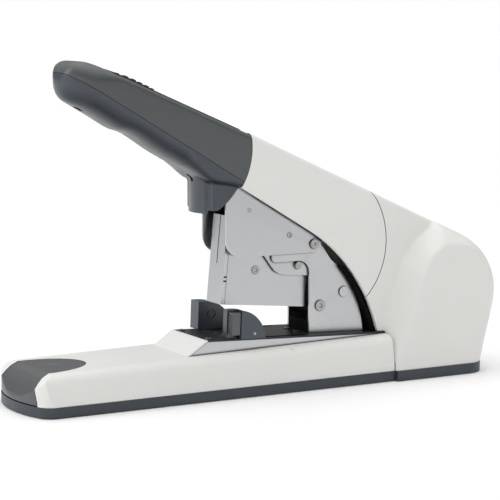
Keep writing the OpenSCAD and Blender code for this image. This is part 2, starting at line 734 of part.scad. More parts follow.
// Screws that hold the lower shell to the upper one
module handle_screws() place() color(steel)
    for (p = handle_spots) on_parting(p[0]) translate([0, 0, -p[1] + 4]) rotate([180, 0, 0])
        screw(2.5, handle_screw_r, p[1] + 2);
module cover_screws() place() color(steel)
    for (u = cover_spots) on_top_line() translate([u, 0, -bridge_depth - bridge_t])
        rotate([180, 0, 0]) screw(2.5, handle_screw_r, 9);

// ---- Magazine -------------------------------------------------------------------------------

wall_u = mag_front + flange_l + 0.2;
module magazine_housing() place() color(steel) difference() {
    in_magazine() union() {
        both_sides() translate([wall_u, mag_w/2 - mag_t, mag_foot])
            cube([mag_rear - wall_u, mag_t, mag_top - mag_foot]);
        // Deck over the staples
        translate([blade_u + blade_t + run, -mag_w/2 + mag_t - EPS, deck_w])
            cube([mag_rear - blade_u - blade_t - run, mag_w - 2*mag_t + 2*EPS, 1]);
        // Lips that carry the rail
        both_sides() translate([mag_front + 6, mag_w/2 - mag_t - 0.9, mag_foot])
            cube([mag_rear - mag_front - 6, 0.9 + EPS, 0.9]);
        // Rear wall
        translate([mag_rear - 1, -mag_w/2 + mag_t - EPS, 1.2])
            cube([1, mag_w - 2*mag_t + 2*EPS, deck_w - 1.2 + EPS]);
    }
    in_magazine() {
        cross_bar(dish[0], dish[1], rivet_r + EPS, 60);
        cross_bar(arm_rivet[0], arm_rivet[1], rivet_r + EPS, 60);
        long_bar(mag_rear - 2, 0, rod_w, rod_r + EPS, 4);
    }
    cross_bar(stop_x, stop_z, rivet_r + EPS, 60);
}

module front_plate() place() color(steel) in_magazine() difference() {
    union() {
        translate([mag_front, -mag_w/2, mag_foot]) cube([front_t, mag_w, front_top - mag_foot]);
        both_sides() translate([mag_front + front_t - EPS, mag_w/2 - 1, mag_foot])
            cube([flange_l - front_t, 1, front_top - mag_foot]);
    }
    // Slit in the upper half, and notches in the flanges
    translate([mag_front - 1, -0.4, 21.5]) cube([4, 0.8, 40]);
    both_sides() for (w = [11.6, 13.9]) translate([mag_front + 0.5, mag_w/2 - 1.5, w]) cube([4, 2, 0.9]);
}

arm_side = concat(
    [[149.3, 78.5], [151, 76.3], [157.8, 67], [161, 65], [165.5, 64.1], [181, 62.8], [180.8, 47]],
    arc([mag_x, mag_z], 6.2, 170, 360, 12),
    [[193.2, 58], [188, 70], [179, 75.5], [172, 78.5]]);
module arm_plate(s) difference() {
    side(arm_side, arm_t, s*(arm_out - arm_t/2));
    cross_bar(mag_x, mag_z, mag_pin_r + fit, 60);
    cross_bar(stop_x, stop_z, rivet_r + EPS, 60);
    in_magazine() cross_bar(arm_rivet[0], arm_rivet[1], rivet_r + EPS, 60);
}
module arm_left() place() color(steel) arm_plate(-1);
module arm_right() place() color(steel) arm_plate(1);

// A dished rivet through the housing, and the rivet that carries the arms on two collars
module magazine_rivets() place() color(steel) in_magazine() {
    difference() {
        union() {
            cross_bar(dish[0], dish[1], rivet_r, mag_w);
            both_sides() cross_bar(dish[0], dish[1], 2.4, 0.4, mag_w/2 + 0.2);
        }
        both_sides() cross_bar(dish[0], dish[1], 1.1, 0.6, mag_w/2 + 0.4);
    }
    cross_bar(arm_rivet[0], arm_rivet[1], rivet_r, 2*arm_out);
    both_sides() cross_bar(arm_rivet[0], arm_rivet[1], 2.6, arm_out - arm_t - mag_w/2 - EPS,
        (arm_out - arm_t + mag_w/2)/2);
}

module stop_pin() place() color(steel) {
    cross_bar(stop_x, stop_z, rivet_r, 2*arm_out + 2*EPS);
    both_sides() {
        cross_bar(stop_x, stop_z, stop_r, 1.9, arm_out + 0.95);
        cross_bar(stop_x, stop_z, 2.6, arm_out - arm_t - mag_w/2 - EPS,
            (arm_out - arm_t + mag_w/2)/2);
    }
}

// Block between the arms that turns on the magazine pivot
module pivot_block() place() color(black) difference() {
    side(concat([[181, 62], [179.5, 46], [180.3, 42.6]], arc([mag_x, mag_z], 6, 200, 360, 10), [[193, 62]]),
        2*(arm_out - arm_t));
    cross_bar(mag_x, mag_z, mag_pin_r + fit, 60);
}

module staple_rail() place() color(steel) in_magazine() difference() {
    translate([rail_u, -staple_w/2 + 0.9, mag_foot + 0.2])
        cube([mag_rear - 1.3 - rail_u, staple_w - 1.8, 8.2]);
    translate([rail_u - 1, -staple_w/2 + 1.9, mag_foot + 1.2])
        cube([mag_rear - rail_u + 2, staple_w - 3.8, 8.2]);
}

module staple_strip() place() color(steel) in_magazine() difference() {
    translate([rail_u, -staple_w/2, 0.1]) cube([strip_end - rail_u, staple_w, 7.7]);
    translate([rail_u - 1, -staple_w/2 + 0.7, -1]) cube([strip_end - rail_u + 2, staple_w - 1.4, 8.1]);
}

module pusher_rod() place() color(steel) in_magazine()
    long_bar(rail_u + 1, 0, rod_w, rod_r, mag_rear - rail_u - 1);

module driver_blade() place() color(dull_steel) in_magazine()
    translate([blade_u, -staple_w/2, blade_foot]) cube([blade_t, staple_w, head_top - blade_foot]);

module driver_head() place() color(black) in_magazine() difference() {
    translate([blade_u + blade_t, -6.8, head_foot]) cube([head_l, 13.6, head_top - head_foot]);
    translate([spring_u, 0, head_foot - 1]) cylinder(r = 5.4, h = 4, $fn = FN);
}

module driver_spring() place() color(steel) in_magazine() translate([spring_u, 0, deck_w + 1.05])
    coil(3.4, 0.5, head_foot + 2.9 - deck_w - 1.1, 10);

module staple_pusher() place() color(black) in_magazine() difference() {
    translate([strip_end + 0.1, -staple_w/2, 0.1])
        cube([pusher_end - strip_end - 0.1, staple_w, 9.2]);
    // Channels that straddle the rail
    both_sides() translate([strip_end - 1, staple_w/2 - 2.2, -1]) cube([12, 1.6, 8.4]);
    translate([strip_end - 1, -staple_w/2 + 0.6, -1]) cube([12, staple_w - 1.2, 1.3]);
    translate([strip_end - 1, 0, 0]) long_bar(0, 0, rod_w, rod_r + 0.1, 20);
}

module pusher_spring() place() color(steel) in_magazine() translate([pusher_end + 0.05, 0, rod_w])
    rotate([0, 90, 0]) coil(1.7, 0.4, mag_rear - 1.15 - pusher_end, 9);

// ---- Paper guides -----------------------------------------------------------------------------

function guide_side() = concat([[0, run], [0, guide_h]],
    arc([5.2, guide_h - guide_round], guide_round, 90, 3, 12));
module guide_block(s) on_platform() translate([guide_x, 0, 0]) {
    side(guide_side(), guide_t, s*(guide_gap/2 + guide_t/2));
    translate([stem[0], s*slot_y - slot_w/2 + run, carriage_top])
        cube([stem[1], slot_w - 2*run, run + EPS - carriage_top]);
}
module guide_bolt_holes() on_platform() for (x = [8, 14], s = [-1, 1])
    translate([guide_x + x, s*slot_y, -8]) cylinder(r = guide_bolt_r + EPS, h = 10.2, $fn = FN);

module guide_right() place() color(slate) difference() {
    guide_block(1);
    // Ring around a blind boss on the inner face
    on_platform() translate([guide_x + 8, guide_gap/2, 9]) rotate([90, 0, 0]) difference() {
        cylinder(r = 3.2, h = 1.2, center = true, $fn = FN);
        cylinder(r = 1.7, h = 1.3, center = true, $fn = FN);
    }
    guide_bolt_holes();
}
module guide_left() place() color(slate) difference() {
    guide_block(-1);
    on_platform() translate([guide_x, -guide_gap/2, 0]) {
        // Notch for the thumb piece, and the pocket of its arm
        translate([-1, -guide_t - 1, -1]) cube([1 + notch_l, 6, guide_h + 4]);
        translate([notch_l - 0.7, -7.2, 0.9]) cube([13.4, 2.8, 6.3]);
        cross_bar(release_x, release_z, release_pin_r + EPS, 60);
    }
    guide_bolt_holes();
}

module guide_carriage() place() color(steel) difference() {
    on_platform() translate([guide_x + stem[0], -slot_y - 2, carriage_top - carriage_t])
        cube([stem[1], 2*slot_y + 4, carriage_t]);
    guide_bolt_holes();
}
module guide_screws() place() color(steel) on_platform() for (x = [8, 14], s = [-1, 1])
    translate([guide_x + x, s*slot_y, carriage_top - carriage_t]) rotate([180, 0, 0])
        screw(1.4, guide_bolt_r, 4.6, 0.5);

module release_lever() place() color(dark_grey) on_platform()
    translate([guide_x, -guide_gap/2, 0]) difference() {
        union() {
            // Ribbed thumb piece
            translate([0.6, -guide_t + 0.5, 2.6]) cube([5.6, 4.1, 12.6]);
            // Arm to the pin
            translate([4, -6.8, 2.6]) cube([release_x - 4, 2, 2.6]);
            translate([release_x, -4.8, release_z]) rotate([90, 0, 0])
                cylinder(r = 2.1, h = 2, $fn = FN);
        }
        cross_bar(release_x, release_z, release_pin_r + fit, 60);
        for (i = [0:5]) translate([0.6, -guide_t + 2.5, 4.2 + i*1.9]) rotate([20, 0, 0])
            cube([1, 8, 0.8], center = true);
    }
module release_pin() place() color(steel) on_platform() translate([guide_x, -guide_gap/2, 0])
    cross_bar(release_x, release_z, release_pin_r, guide_t, -guide_t/2);
module release_spring() place() color(steel) on_platform()
    translate([guide_x + 9, -guide_gap/2 - 5.8, 0.95]) coil(0.8, 0.2, 1.6, 3);

// ---- Output -----------------------------------------------------------------------------------

sole();
rubber_feet();
base_screws();
base_cover();
front_cap();
rear_housing();
inner_shroud();
chassis_plate();
platform_frame();
platform_plate();
platform_screws();
anvil();
front_ramp();
tower_left();
tower_right();
tower_web();
tower_spacers();
tower_rivets();
lever_pivot_pin();
magazine_pivot_pin();
return_spring();
handle_top_shell();
handle_bottom_shell();
handle_cover();
grip_insert();
lever_left();
lever_right();
lever_bridge();
lever_tie_pin();
drive_roller();
roller_pin();
handle_screws();
cover_screws();
magazine_housing();
front_plate();
arm_left();
arm_right();
magazine_rivets();
stop_pin();
pivot_block();
staple_rail();
staple_strip();
pusher_rod();
driver_blade();
driver_head();
driver_spring();
staple_pusher();
pusher_spring();
guide_left();
guide_right();
guide_carriage();
guide_screws();
release_lever();
release_pin();
release_spring();
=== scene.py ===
import bpy, bmesh, math, json
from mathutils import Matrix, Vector


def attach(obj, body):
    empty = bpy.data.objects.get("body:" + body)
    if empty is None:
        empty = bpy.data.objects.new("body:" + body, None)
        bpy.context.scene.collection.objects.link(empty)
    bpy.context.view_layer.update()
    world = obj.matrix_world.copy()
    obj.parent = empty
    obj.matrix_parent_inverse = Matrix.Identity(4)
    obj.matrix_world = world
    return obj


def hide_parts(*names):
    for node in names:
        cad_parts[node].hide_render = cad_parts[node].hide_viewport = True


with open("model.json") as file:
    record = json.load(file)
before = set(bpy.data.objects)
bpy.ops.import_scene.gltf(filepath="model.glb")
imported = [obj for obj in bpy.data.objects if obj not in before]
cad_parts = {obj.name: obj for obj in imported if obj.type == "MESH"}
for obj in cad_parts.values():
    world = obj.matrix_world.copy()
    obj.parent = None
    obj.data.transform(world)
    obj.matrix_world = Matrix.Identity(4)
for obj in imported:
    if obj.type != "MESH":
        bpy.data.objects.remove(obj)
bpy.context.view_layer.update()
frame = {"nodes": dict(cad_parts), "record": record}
NODES = frame["nodes"]
REC = frame["record"]
MM = 0.001
X0 = -0.151            # the sole's front edge


def P(x, y, z):
    """Millimetres from the sole's front edge to the row frame in metres."""
    return Vector((X0 + x * MM, y * MM, z * MM))


# ---- materials ----------------------------------------------------------------------------

def srgb(r, g, b):
    def lin(c):
        c = c / 255.0
        return c / 12.92 if c <= 0.04045 else ((c + 0.055) / 1.055) ** 2.4
    return (lin(r), lin(g), lin(b), 1.0)


def scaled(c, k):
    return (min(1, c[0] * k), min(1, c[1] * k), min(1, c[2] * k), 1.0)


class Mat:
    """A procedural material: mottled colour, edges lighter where rubbed on plastics and darker as painted
    shade on steel, painted shade on down-facing faces and in seams, uneven roughness and a fine bump.

    under: how much of the colour is left on faces that look down, as painted shade
    seams: width in mm of the painted shade lines in seams and round pin heads
    """

    def __init__(self, name, colour, rough, metal=0.0, grain=2200.0, bump=0.06, mottle=0.06,
                 wear_and_edge_shade=1.25, spread=0.08, stretch=(1, 1, 1), spec=0.5, dist=0.00006,
                 scratch=0.0, under=1.0, seams=0.8):
        m = bpy.data.materials.new(name)
        m.use_nodes = True
        self.m, self.t = m, m.node_tree
        t = self.t
        t.nodes.clear()
        out = t.nodes.new("ShaderNodeOutputMaterial")
        bsdf = t.nodes.new("ShaderNodeBsdfPrincipled")
        t.links.new(bsdf.outputs["BSDF"], out.inputs["Surface"])
        bsdf.inputs["Metallic"].default_value = metal
        bsdf.inputs["Specular IOR Level"].default_value = spec
        tc = t.nodes.new("ShaderNodeTexCoord")
        mp = t.nodes.new("ShaderNodeMapping")
        mp.inputs["Scale"].default_value = stretch
        t.links.new(tc.outputs["Object"], mp.inputs["Vector"])

        def noise(scale, detail=3.0, vec=mp.outputs["Vector"]):
            n = t.nodes.new("ShaderNodeTexNoise")
            n.inputs["Scale"].default_value = scale
            n.inputs["Detail"].default_value = detail
            t.links.new(vec, n.inputs["Vector"])
            return n.outputs["Fac"]

        # colour: broad mottling, then sharp edges lighter where rubbed on the plastics, darker as painted
        # shade outlines on the sheet and tool steel
        mix = t.nodes.new("ShaderNodeMix")
        mix.data_type = "RGBA"
        mix.inputs["A"].default_value = scaled(colour, 1 - mottle)
        mix.inputs["B"].default_value = scaled(colour, 1 + mottle)
        t.links.new(noise(55.0, 4.0, tc.outputs["Object"]), mix.inputs["Factor"])
        geo = t.nodes.new("ShaderNodeNewGeometry")
        edge = t.nodes.new("ShaderNodeMapRange")
        edge.inputs["From Min"].default_value = 0.53
        edge.inputs["From Max"].default_value = 0.66
        edge.inputs["To Max"].default_value = 0.55
        t.links.new(geo.outputs["Pointiness"], edge.inputs["Value"])
        worn_and_shaded_edges = t.nodes.new("ShaderNodeMix")
        worn_and_shaded_edges.data_type = "RGBA"
        worn_and_shaded_edges.inputs["B"].default_value = scaled(colour, wear_and_edge_shade)
        t.links.new(edge.outputs["Result"], worn_and_shaded_edges.inputs["Factor"])
        t.links.new(mix.outputs["Result"], worn_and_shaded_edges.inputs["A"])
        tone = worn_and_shaded_edges
        # painted shade: darker and duller where the surface faces down, standing in for the light these
        # faces lack
        if under < 1:
            sep = t.nodes.new("ShaderNodeSeparateXYZ")
            t.links.new(geo.outputs["Normal"], sep.inputs["Vector"])
            down = t.nodes.new("ShaderNodeMapRange")
            down.interpolation_type = "SMOOTHSTEP"
            down.inputs["From Min"].default_value = 0.25
            down.inputs["From Max"].default_value = -0.85
            t.links.new(sep.outputs["Z"], down.inputs["Value"])
            painted_underside_shade = t.nodes.new("ShaderNodeMix")
            painted_underside_shade.data_type = "RGBA"
            painted_underside_shade.inputs["B"].default_value = scaled(colour, under)
            t.links.new(down.outputs["Result"], painted_underside_shade.inputs["Factor"])
            t.links.new(worn_and_shaded_edges.outputs["Result"], painted_underside_shade.inputs["A"])
            tone = painted_underside_shade
            shine = t.nodes.new("ShaderNodeMapRange")
            shine.inputs["To Min"].default_value = spec
            shine.inputs["To Max"].default_value = 0.3
            t.links.new(down.outputs["Result"], shine.inputs["Value"])
            t.links.new(shine.outputs["Result"], bsdf.inputs["Specular IOR Level"])
        # painted shade: dark lines in seams and round pin heads, from ambient occlusion
        ao = t.nodes.new("ShaderNodeAmbientOcclusion")
        ao.samples = 8
        ao.inputs["Distance"].default_value = seams * MM
        shut = t.nodes.new("ShaderNodeMapRange")
        shut.inputs["From Min"].default_value = 0.88
        shut.inputs["From Max"].default_value = 0.5
        t.links.new(ao.outputs["AO"], shut.inputs["Value"])
        painted_seam_shade = t.nodes.new("ShaderNodeMix")
        painted_seam_shade.data_type = "RGBA"
        painted_seam_shade.inputs["B"].default_value = scaled(colour, 0.04)
        t.links.new(shut.outputs["Result"], painted_seam_shade.inputs["Factor"])
        t.links.new(tone.outputs["Result"], painted_seam_shade.inputs["A"])
        t.links.new(painted_seam_shade.outputs["Result"], bsdf.inputs["Base Color"])
        # roughness
        rr = t.nodes.new("ShaderNodeMapRange")
        rr.inputs["To Min"].default_value = max(0.02, rough - spread)
        rr.inputs["To Max"].default_value = min(1.0, rough + spread)
        t.links.new(noise(140.0, 5.0), rr.inputs["Value"])
        t.links.new(rr.outputs["Result"], bsdf.inputs["Roughness"])
        # bump: fine grain, with shallow scratches on metal
        b = t.nodes.new("ShaderNodeBump")
        b.inputs["Strength"].default_value = bump
        b.inputs["Distance"].default_value = dist
        t.links.new(noise(grain, 2.0), b.inputs["Height"])
        last = b
        if scratch:
            m2 = t.nodes.new("ShaderNodeMapping")
            m2.inputs["Scale"].default_value = (1.0, 1.0, 14.0)
            m2.inputs["Rotation"].default_value = (0.2, 0.5, 0.3)
            t.links.new(tc.outputs["Object"], m2.inputs["Vector"])
            b2 = t.nodes.new("ShaderNodeBump")
            b2.inputs["Strength"].default_value = scratch
            b2.inputs["Distance"].default_value = 0.00005
            t.links.new(noise(260.0, 6.0, m2.outputs["Vector"]), b2.inputs["Height"])
            t.links.new(b.outputs["Normal"], b2.inputs["Normal"])
            last = b2
        t.links.new(last.outputs["Normal"], bsdf.inputs["Normal"])
        m.diffuse_color = colour


light = Mat("light_plastic", srgb(232, 232, 229), 0.46, grain=2600, bump=0.10, mottle=0.02, wear_and_edge_shade=1.04).m
dark = Mat("dark_plastic", srgb(74, 78, 80), 0.38, grain=1900, bump=0.12, mottle=0.05, wear_and_edge_shade=1.3, spec=0.85).m
grip = Mat("grip_plastic", srgb(70, 74, 76), 0.32, grain=1700, bump=0.12, mottle=0.05, wear_and_edge_shade=1.25, spec=0.8).m
# slate: faces that look down are painted darker as shade (under=0.45)
slate = Mat("slate_plastic", srgb(50, 59, 70), 0.3, grain=1900, bump=0.1, mottle=0.05, wear_and_edge_shade=1.3, spec=0.9,
            under=0.45).m
rim = Mat("rim_plastic", srgb(56, 62, 68), 0.45, grain=1900, bump=0.12, mottle=0.06, wear_and_edge_shade=1.3).m
black = Mat("black_plastic", srgb(22, 22, 24), 0.55, grain=1900, bump=0.12, mottle=0.1, wear_and_edge_shade=1.5).m
# painted shadow: a near-black, dull material for parts that stand where there is deep shade
shadow_fill = Mat("painted_shadow", srgb(9, 9, 10), 0.85, grain=1900, bump=0.1, mottle=0.1, wear_and_edge_shade=1.2, spec=0.15).m
rubber = Mat("rubber", srgb(62, 64, 66), 0.72, grain=1300, bump=0.25, mottle=0.08, wear_and_edge_shade=1.3).m
# sheet and tool steel: sharp edges darkened to 0.7 as painted shade outlines round plates and pin heads
sheet = Mat("sheet_steel", srgb(206, 207, 209), 0.3, metal=1.0, grain=900, bump=0.02, mottle=0.025,
            wear_and_edge_shade=0.7, spread=0.05, stretch=(1, 1, 6), scratch=0.012, seams=1.9).m
tool = Mat("tool_steel", srgb(178, 178, 176), 0.28, metal=1.0, grain=900, bump=0.03, mottle=0.05,
           wear_and_edge_shade=0.7, spread=0.08, scratch=0.02).m
ramp = Mat("ramp_steel", srgb(236, 236, 235), 0.34, grain=1500, bump=0.05, mottle=0.02, wear_and_edge_shade=1.02).m
blackst = Mat("black_steel", srgb(30, 31, 33), 0.33, grain=1400, bump=0.08, mottle=0.1, wear_and_edge_shade=2.2,
              scratch=0.05).m
spring = Mat("spring_steel", srgb(150, 150, 148), 0.3, metal=1.0, grain=900, bump=0.05, mottle=0.08,
             wear_and_edge_shade=1.2).m
wire = Mat("staple_wire", srgb(206, 207, 209), 0.2, metal=1.0, grain=900, bump=0.05, mottle=0.05,
           wear_and_edge_shade=1.1, stretch=(30, 1, 1)).m
BY_SLOT = {"light_plastic": light, "dark_plastic": dark, "grip_plastic": grip, "slate_plastic": slate,
           "rim_plastic": rim, "black_plastic": black, "rubber": rubber, "sheet_steel": sheet,
           "tool_steel": tool, "ramp_steel": ramp, "black_steel": blackst, "spring_steel": spring,
           "staple_wire": wire}
SLOT_OF = {s["node"]: s["material_slot"] for s in REC["subparts"]}

SOFT = {"sole": 0.7, "base_cover": 0.5, "front_cap": 0.6, "rear_housing": 0.6, "handle_top_shell": 0.8,
        "handle_bottom_shell": 0.6, "handle_cover": 0.6, "guide_left": 0.45, "guide_right": 0.45,
        "release_lever": 0.25, "driver_head": 0.4, "staple_pusher": 0.3, "grip_insert": 0.3,
        "front_ramp": 0.25, "platform_frame": 0.2, "platform_plate": 0.2, "rubber_feet": 0.4}
for name, o in NODES.items():
    # the inner shroud, tower web and pivot block are coloured with the painted shadow black
    m = shadow_fill if name in ("inner_shroud", "tower_web", "pivot_block") else BY_SLOT[SLOT_OF[name]]
    o.data.materials.clear()
    o.data.materials.append(m)
    w = SOFT.get(name, 0.15)
    if name.endswith("spring"):
        continue
    b = o.modifiers.new("soft_edges", "BEVEL")
    b.width = w * MM
    b.segments = 2 if w < 0.3 else 3
    b.limit_method = "ANGLE"
    b.angle_limit = math.radians(32)
    b.harden_normals = False
    b.use_clamp_overlap = True

# ---- shapes -------------------------------------------------------------------------------

def new_mesh(name, verts, faces, mat=None, smooth=True):
    me = bpy.data.meshes.new(name)
    me.from_pydata([tuple(v) for v in verts], [], faces)
    me.validate()
    me.update()
    o = bpy.data.objects.new(name, me)
    bpy.context.scene.collection.objects.link(o)
    if mat:
        me.materials.append(mat)
    for p in me.polygons:
        p.use_smooth = smooth
    return o


def drop(*objects):
    for o in objects:
        me = o.data
        bpy.data.objects.remove(o)
        bpy.data.meshes.remove(me)


def settle(o):
    """Turn an object's modifiers into its mesh."""
    deps = bpy.context.evaluated_depsgraph_get()
    me = bpy.data.meshes.new_from_object(o.evaluated_get(deps))
    old = o.data
    o.modifiers.clear()
    o.data = me
    bpy.data.meshes.remove(old)
    return o


def boolean(o, tool, op):
    b = o.modifiers.new(op.lower(), "BOOLEAN")
    b.operation = op
    b.solver = "MANIFOLD"
    b.object = tool
    settle(o)
    drop(tool)
    return o


def cut(o, *tools):
    for tool in tools:
        boolean(o, tool, "DIFFERENCE")
    return o


def merge(o, *others):
    """Lay several closed forms into one mesh; the remesh that follows melts them together."""
    bm = bmesh.new()
    bm.from_mesh(o.data)
    for other in others:
        bm.from_mesh(other.data)
    bm.to_mesh(o.data)
    bm.free()
    drop(*others)
    return o


def melt(o, voxel, rounds):
    """One smooth skin round the form: voxels, then rounds of smoothing."""
    r = o.modifiers.new("voxels", "REMESH")
    r.mode = "VOXEL"
    r.voxel_size = voxel * MM
    s = o.modifiers.new("soften", "SMOOTH")
    s.iterations = rounds
    s.factor = 0.5
    return settle(o)


def loft(name, rings):
    """A closed form through rings of as many points each, with flat ends."""
    n = len(rings[0])
    verts = [v for ring in rings for v in ring]
    faces = [tuple(range(n))[::-1]]
    for k in range(len(rings) - 1):
        for i in range(n):
            j = (i + 1) % n
            faces.append((k * n + i, k * n + j, (k + 1) * n + j, (k + 1) * n + i))
    faces.append(tuple((len(rings) - 1) * n + i for i in range(n)))
    o = new_mesh(name, verts, faces)
    bm = bmesh.new()
    bm.from_mesh(o.data)
    bmesh.ops.recalc_face_normals(bm, faces=bm.faces)
    bm.to_mesh(o.data)
    bm.free()
    return o


def side_prism(name, outline, half_w, y=0.0):
    """A side view drawn in x and z, made half_w thick each way."""
    return loft(name, [[P(x, y + s * half_w, z) for x, z in outline] for s in (-1, 1)])


def disc_prism(name, x, z, r, half_w, n=160):
    return side_prism(name, arc((x, z), r, 0, 360 - 360 / n, n - 1), half_w)


def rod(name, a, b, r, n=32):
    """A round bar from point a to point b."""
    d = (b - a).normalized()
    u = d.orthogonal().normalized()
    v = d.cross(u)
    turns = [2 * math.pi * i / n for i in range(n)]
    return loft(name, [[c + (u * math.cos(t) + v * math.sin(t)) * r * MM for t in turns] for c in (a, b)])


def arc(c, r, a0, a1, n):
    """Points on a circle, angles in degrees."""
    out = []
    for i in range(n + 1):
        a = math.radians(a0 + (a1 - a0) * i / n)
        out.append((c[0] + r * math.cos(a), c[1] + r * math.sin(a)))
    return out


def smooth_line(points):
    """A height as a smooth function of x through the given points."""
    n = len(points)
    slope = [(points[min(i + 1, n - 1)][1] - points[max(i - 1, 0)][1])
             / (points[min(i + 1, n - 1)][0] - points[max(i - 1, 0)][0]) for i in range(n)]

    def at(x):
        x = min(max(x, points[0][0]), points[-1][0])
        i = max(k for k in range(n - 1) if points[k][0] <= x)
        (xa, za), (xb, zb) = points[i], points[i + 1]
        h = xb - xa
        t = (x - xa) / h
        return ((2 * t ** 3 - 3 * t * t + 1) * za + (t ** 3 - 2 * t * t + t) * h * slope[i]
                + (3 * t * t - 2 * t ** 3) * zb + (t ** 3 - t * t) * h * slope[i + 1])
    return at


def finish_piece(o, name, mat, body, replaced, bevel=0.5, angle=32):
    """Name, material, sharp edges by angle, a small bevel on them, and its place in the frame."""
    o.name = name
    o.data.name = name
    o.data.materials.clear()
    o.data.materials.append(mat)
    bm = bmesh.new()
    bm.from_mesh(o.data)
    bmesh.ops.remove_doubles(bm, verts=bm.verts, dist=0.01 * MM)
    for f in bm.faces:
        f.smooth = True
        f.material_index = 0
    for e in bm.edges:
        e.smooth = len(e.link_faces) == 2 and e.calc_face_angle(0) < math.radians(angle)
    bm.to_mesh(o.data)
    bm.free()
    if bevel:
        b = o.modifiers.new("soft_edges", "BEVEL")
        b.width = bevel * MM
        b.segments = 2
        b.limit_method = "ANGLE"
        b.angle_limit = math.radians(angle)
    w = o.modifiers.new("normals", "WEIGHTED_NORMAL")
    w.keep_sharp = True
    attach(o, body)
    if replaced:
        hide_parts(*replaced)
    return o


# ---- handle shells ------------------------------------------------------------------------

TOP_A = math.radians(24.3)          # slope of the straight top line
PART_A = math.radians(30.8)         # slope of the line where the two shells meet
TOP_SLOPE = math.tan(TOP_A)
PARTING_SLOPE = math.tan(PART_A)
HANDLE_W = 39.0
TIP = (28.2, 50.0)                  # front of the tip, and where its top rounding starts
CHIN = (40.0, 176.0, 11.8)
FACE = (96.7, 139.4, 41.9)          # the dark shells end on this round face
THROAT = (123.7, 2.5, 102.0)
PIVOT = (181.7, 81.5)
NOSE_FRONT = 111.3
NOSE_REAR = 122.0
NOSE_HALF = 10.4
NOSE_BOW = 2.4                      # how far the nose front bows out
NOSE_CORNER = 1.8
CHEEK = (115.3, 15.6)               # front and half-width of the part beside the lever plates
WALL = 2.0
SEAM = 0.25


def top_z(x, d=0.0):
    return 184.8 - TOP_SLOPE * (x - 53.5) - d / math.cos(TOP_A)


def skin_top(x, d=0.0):
    """The grip's own top line, a little lower towards the tip."""
    return top_z(x, d) - 2.0 + 1.4 * (x - 60) / 75


def parting_z(x):
    return 162.6 - PARTING_SLOPE * (x - 61.6)


UNDERSIDE = smooth_line([(33.9, 165.9), (43.6, 160.7), (50, 157.0), (56.5, 153.0), (61.5, 150.2),
                         (65.5, 149.0), (70, 147.2), (76.4, 143.3), (85.8, 137.0), (95.3, 131.6),
                         (104, 126.8), (109.6, 122.6), (114, 119.8), (131, 116.4), (150, 106.0)])


def grip_form(name, d):
    """The whole grip, moved in by d: half-round in plan at the tip, a soft round underside."""
    half = HANDLE_W / 2
    x0 = TIP[0] + d
    stations = [x0 + (half - d) * (1 - math.cos(math.radians(4 + 86 * i / 16))) for i in range(17)]
    stations += [stations[-1] + 2.4 * (i + 1) for i in range(40)]
    rings = []
    for x in stations:
        reach = min(1.0, (x - x0) / (half - d))
        w = (half - d) * math.sqrt(max(0.0, 1 - (1 - reach) ** 2))
        zt = skin_top(x, d)
        if x < TIP[1]:
            t = (TIP[1] - x) / (TIP[1] - x0)
            zt = CHIN[1] + (zt + 1.8 * t - CHIN[1]) * math.sqrt(max(0.0, 1 - t * t))
        r_chin = CHIN[2] - d
        low = CHIN[1] - math.sqrt(max(0.0, r_chin ** 2 - (x - CHIN[0]) ** 2))
        zb = low if x < 33.96 else UNDERSIDE(x) + d * 1.16
        zm = min(max(parting_z(x), zb + 0.3 * (zt - zb)), zt - 0.3 * (zt - zb))
        soft = min(1.0, max(0.0, (62 - x) / 32))
        soft = soft * soft * (3 - 2 * soft)
        r = min(3.4 + 10.0 * soft - d / 2, (0.45 + 0.2 * soft) * w, (0.5 + 0.3 * soft) * (zt - zm))
        power = 2.5 + 5.0 * min(1.0, max(0.0, (x - 98) / 18))
        half_ring = [((w - r) * f, zt) for f in (0.0, 0.25, 0.5, 0.75)]
        half_ring += arc((w - r, zt - r), r, 90, 0, 6)
        half_ring += [(w, zt - r + (zm - zt + r) * f) for f in (0.33, 0.66)]
        for i in range(15):
            a = math.radians(90 * i / 14)
            half_ring.append((w * math.cos(a) ** (2 / power), zm - (zm - zb) * math.sin(a) ** (2 / power)))
        ring = [P(x, y, z) for y, z in half_ring] + [P(x, -y, z) for y, z in half_ring[-2:0:-1]]
        rings.append(ring)
    return loft(name, rings)


def nose_outline(d):
    """The nose from above: a bowed front between two round corners, then straight sides."""
    half = NOSE_HALF - d
    r = NOSE_CORNER
    bow = [(NOSE_FRONT + d + NOSE_BOW * (y / half) ** 2, y)
           for y in ((half - r) * i / 5 for i in range(-5, 6))]
    corner = arc((bow[0][0] + r * 0.86, -half + r), r, 205, 270, 5)
    return [(NOSE_REAR, -half)] + corner[::-1] + bow + [(x, -y) for x, y in corner] + [(NOSE_REAR, half)]


def nose_form(name, d, z_low, z_high=130.0):
    plan = nose_outline(d)
    return loft(name, [[P(x, y, z_low + (z_high - z_low) * i / 12) for x, y in plan] for i in range(13)])


def face_profile(gap, upper):
    """Side view of what lies before the round face, above or below the parting line."""
    r = FACE[2] - gap
    if upper:
        edge = [p for p in arc(FACE[:2], r, 100, -60, 80) if p[1] > parting_z(p[0]) + gap / 2]
        return [(0, parting_z(0) + gap / 2), (0, 230), (edge[0][0], 230)] + edge + [
            (edge[-1][0] + 0.2, parting_z(edge[-1][0] + 0.2) + gap / 2)]
    edge = [p for p in arc(FACE[:2], r, 30, -80, 80) if p[1] < parting_z(p[0]) - gap / 2]
    return [(0, parting_z(0) - gap / 2), (edge[0][0] - 0.2, parting_z(edge[0][0] - 0.2) - gap / 2)] \
        + edge + [(edge[-1][0], 60), (0, 60)]


